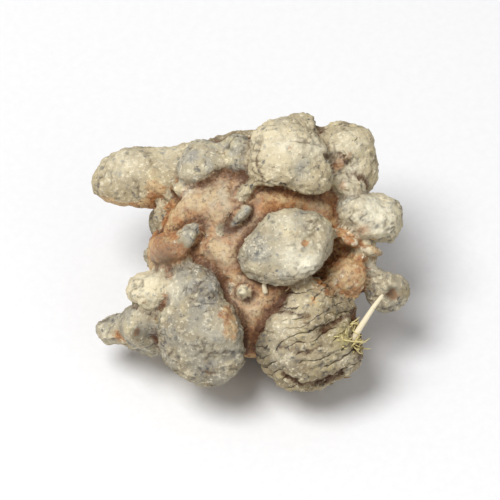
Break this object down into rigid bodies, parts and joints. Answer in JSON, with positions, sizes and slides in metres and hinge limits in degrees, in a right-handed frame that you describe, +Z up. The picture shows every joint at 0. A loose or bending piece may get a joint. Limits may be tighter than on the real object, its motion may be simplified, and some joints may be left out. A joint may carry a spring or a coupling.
{
  "type": "notoginseng root",
  "caption": "Dried notoginseng root: a stubby knobbly body crowded with rounded warty knobs, with a short tapering finger at one side and creases between the knobs.",
  "frame": {"origin": "on the ground, under the middle of the root's bounding box", "axes": "+Z up, +X across to the right as the root is seen, away from the tip of its finger, and -Y towards the viewer"},
  "size_m": [0.046, 0.0402, 0.034],
  "materials": {
    "dried_skin": "dull, dusty and rough"
  },
  "bodies": {
    "root": {"notoginseng_root": "dried_skin"}
  },
  "joints": []
}
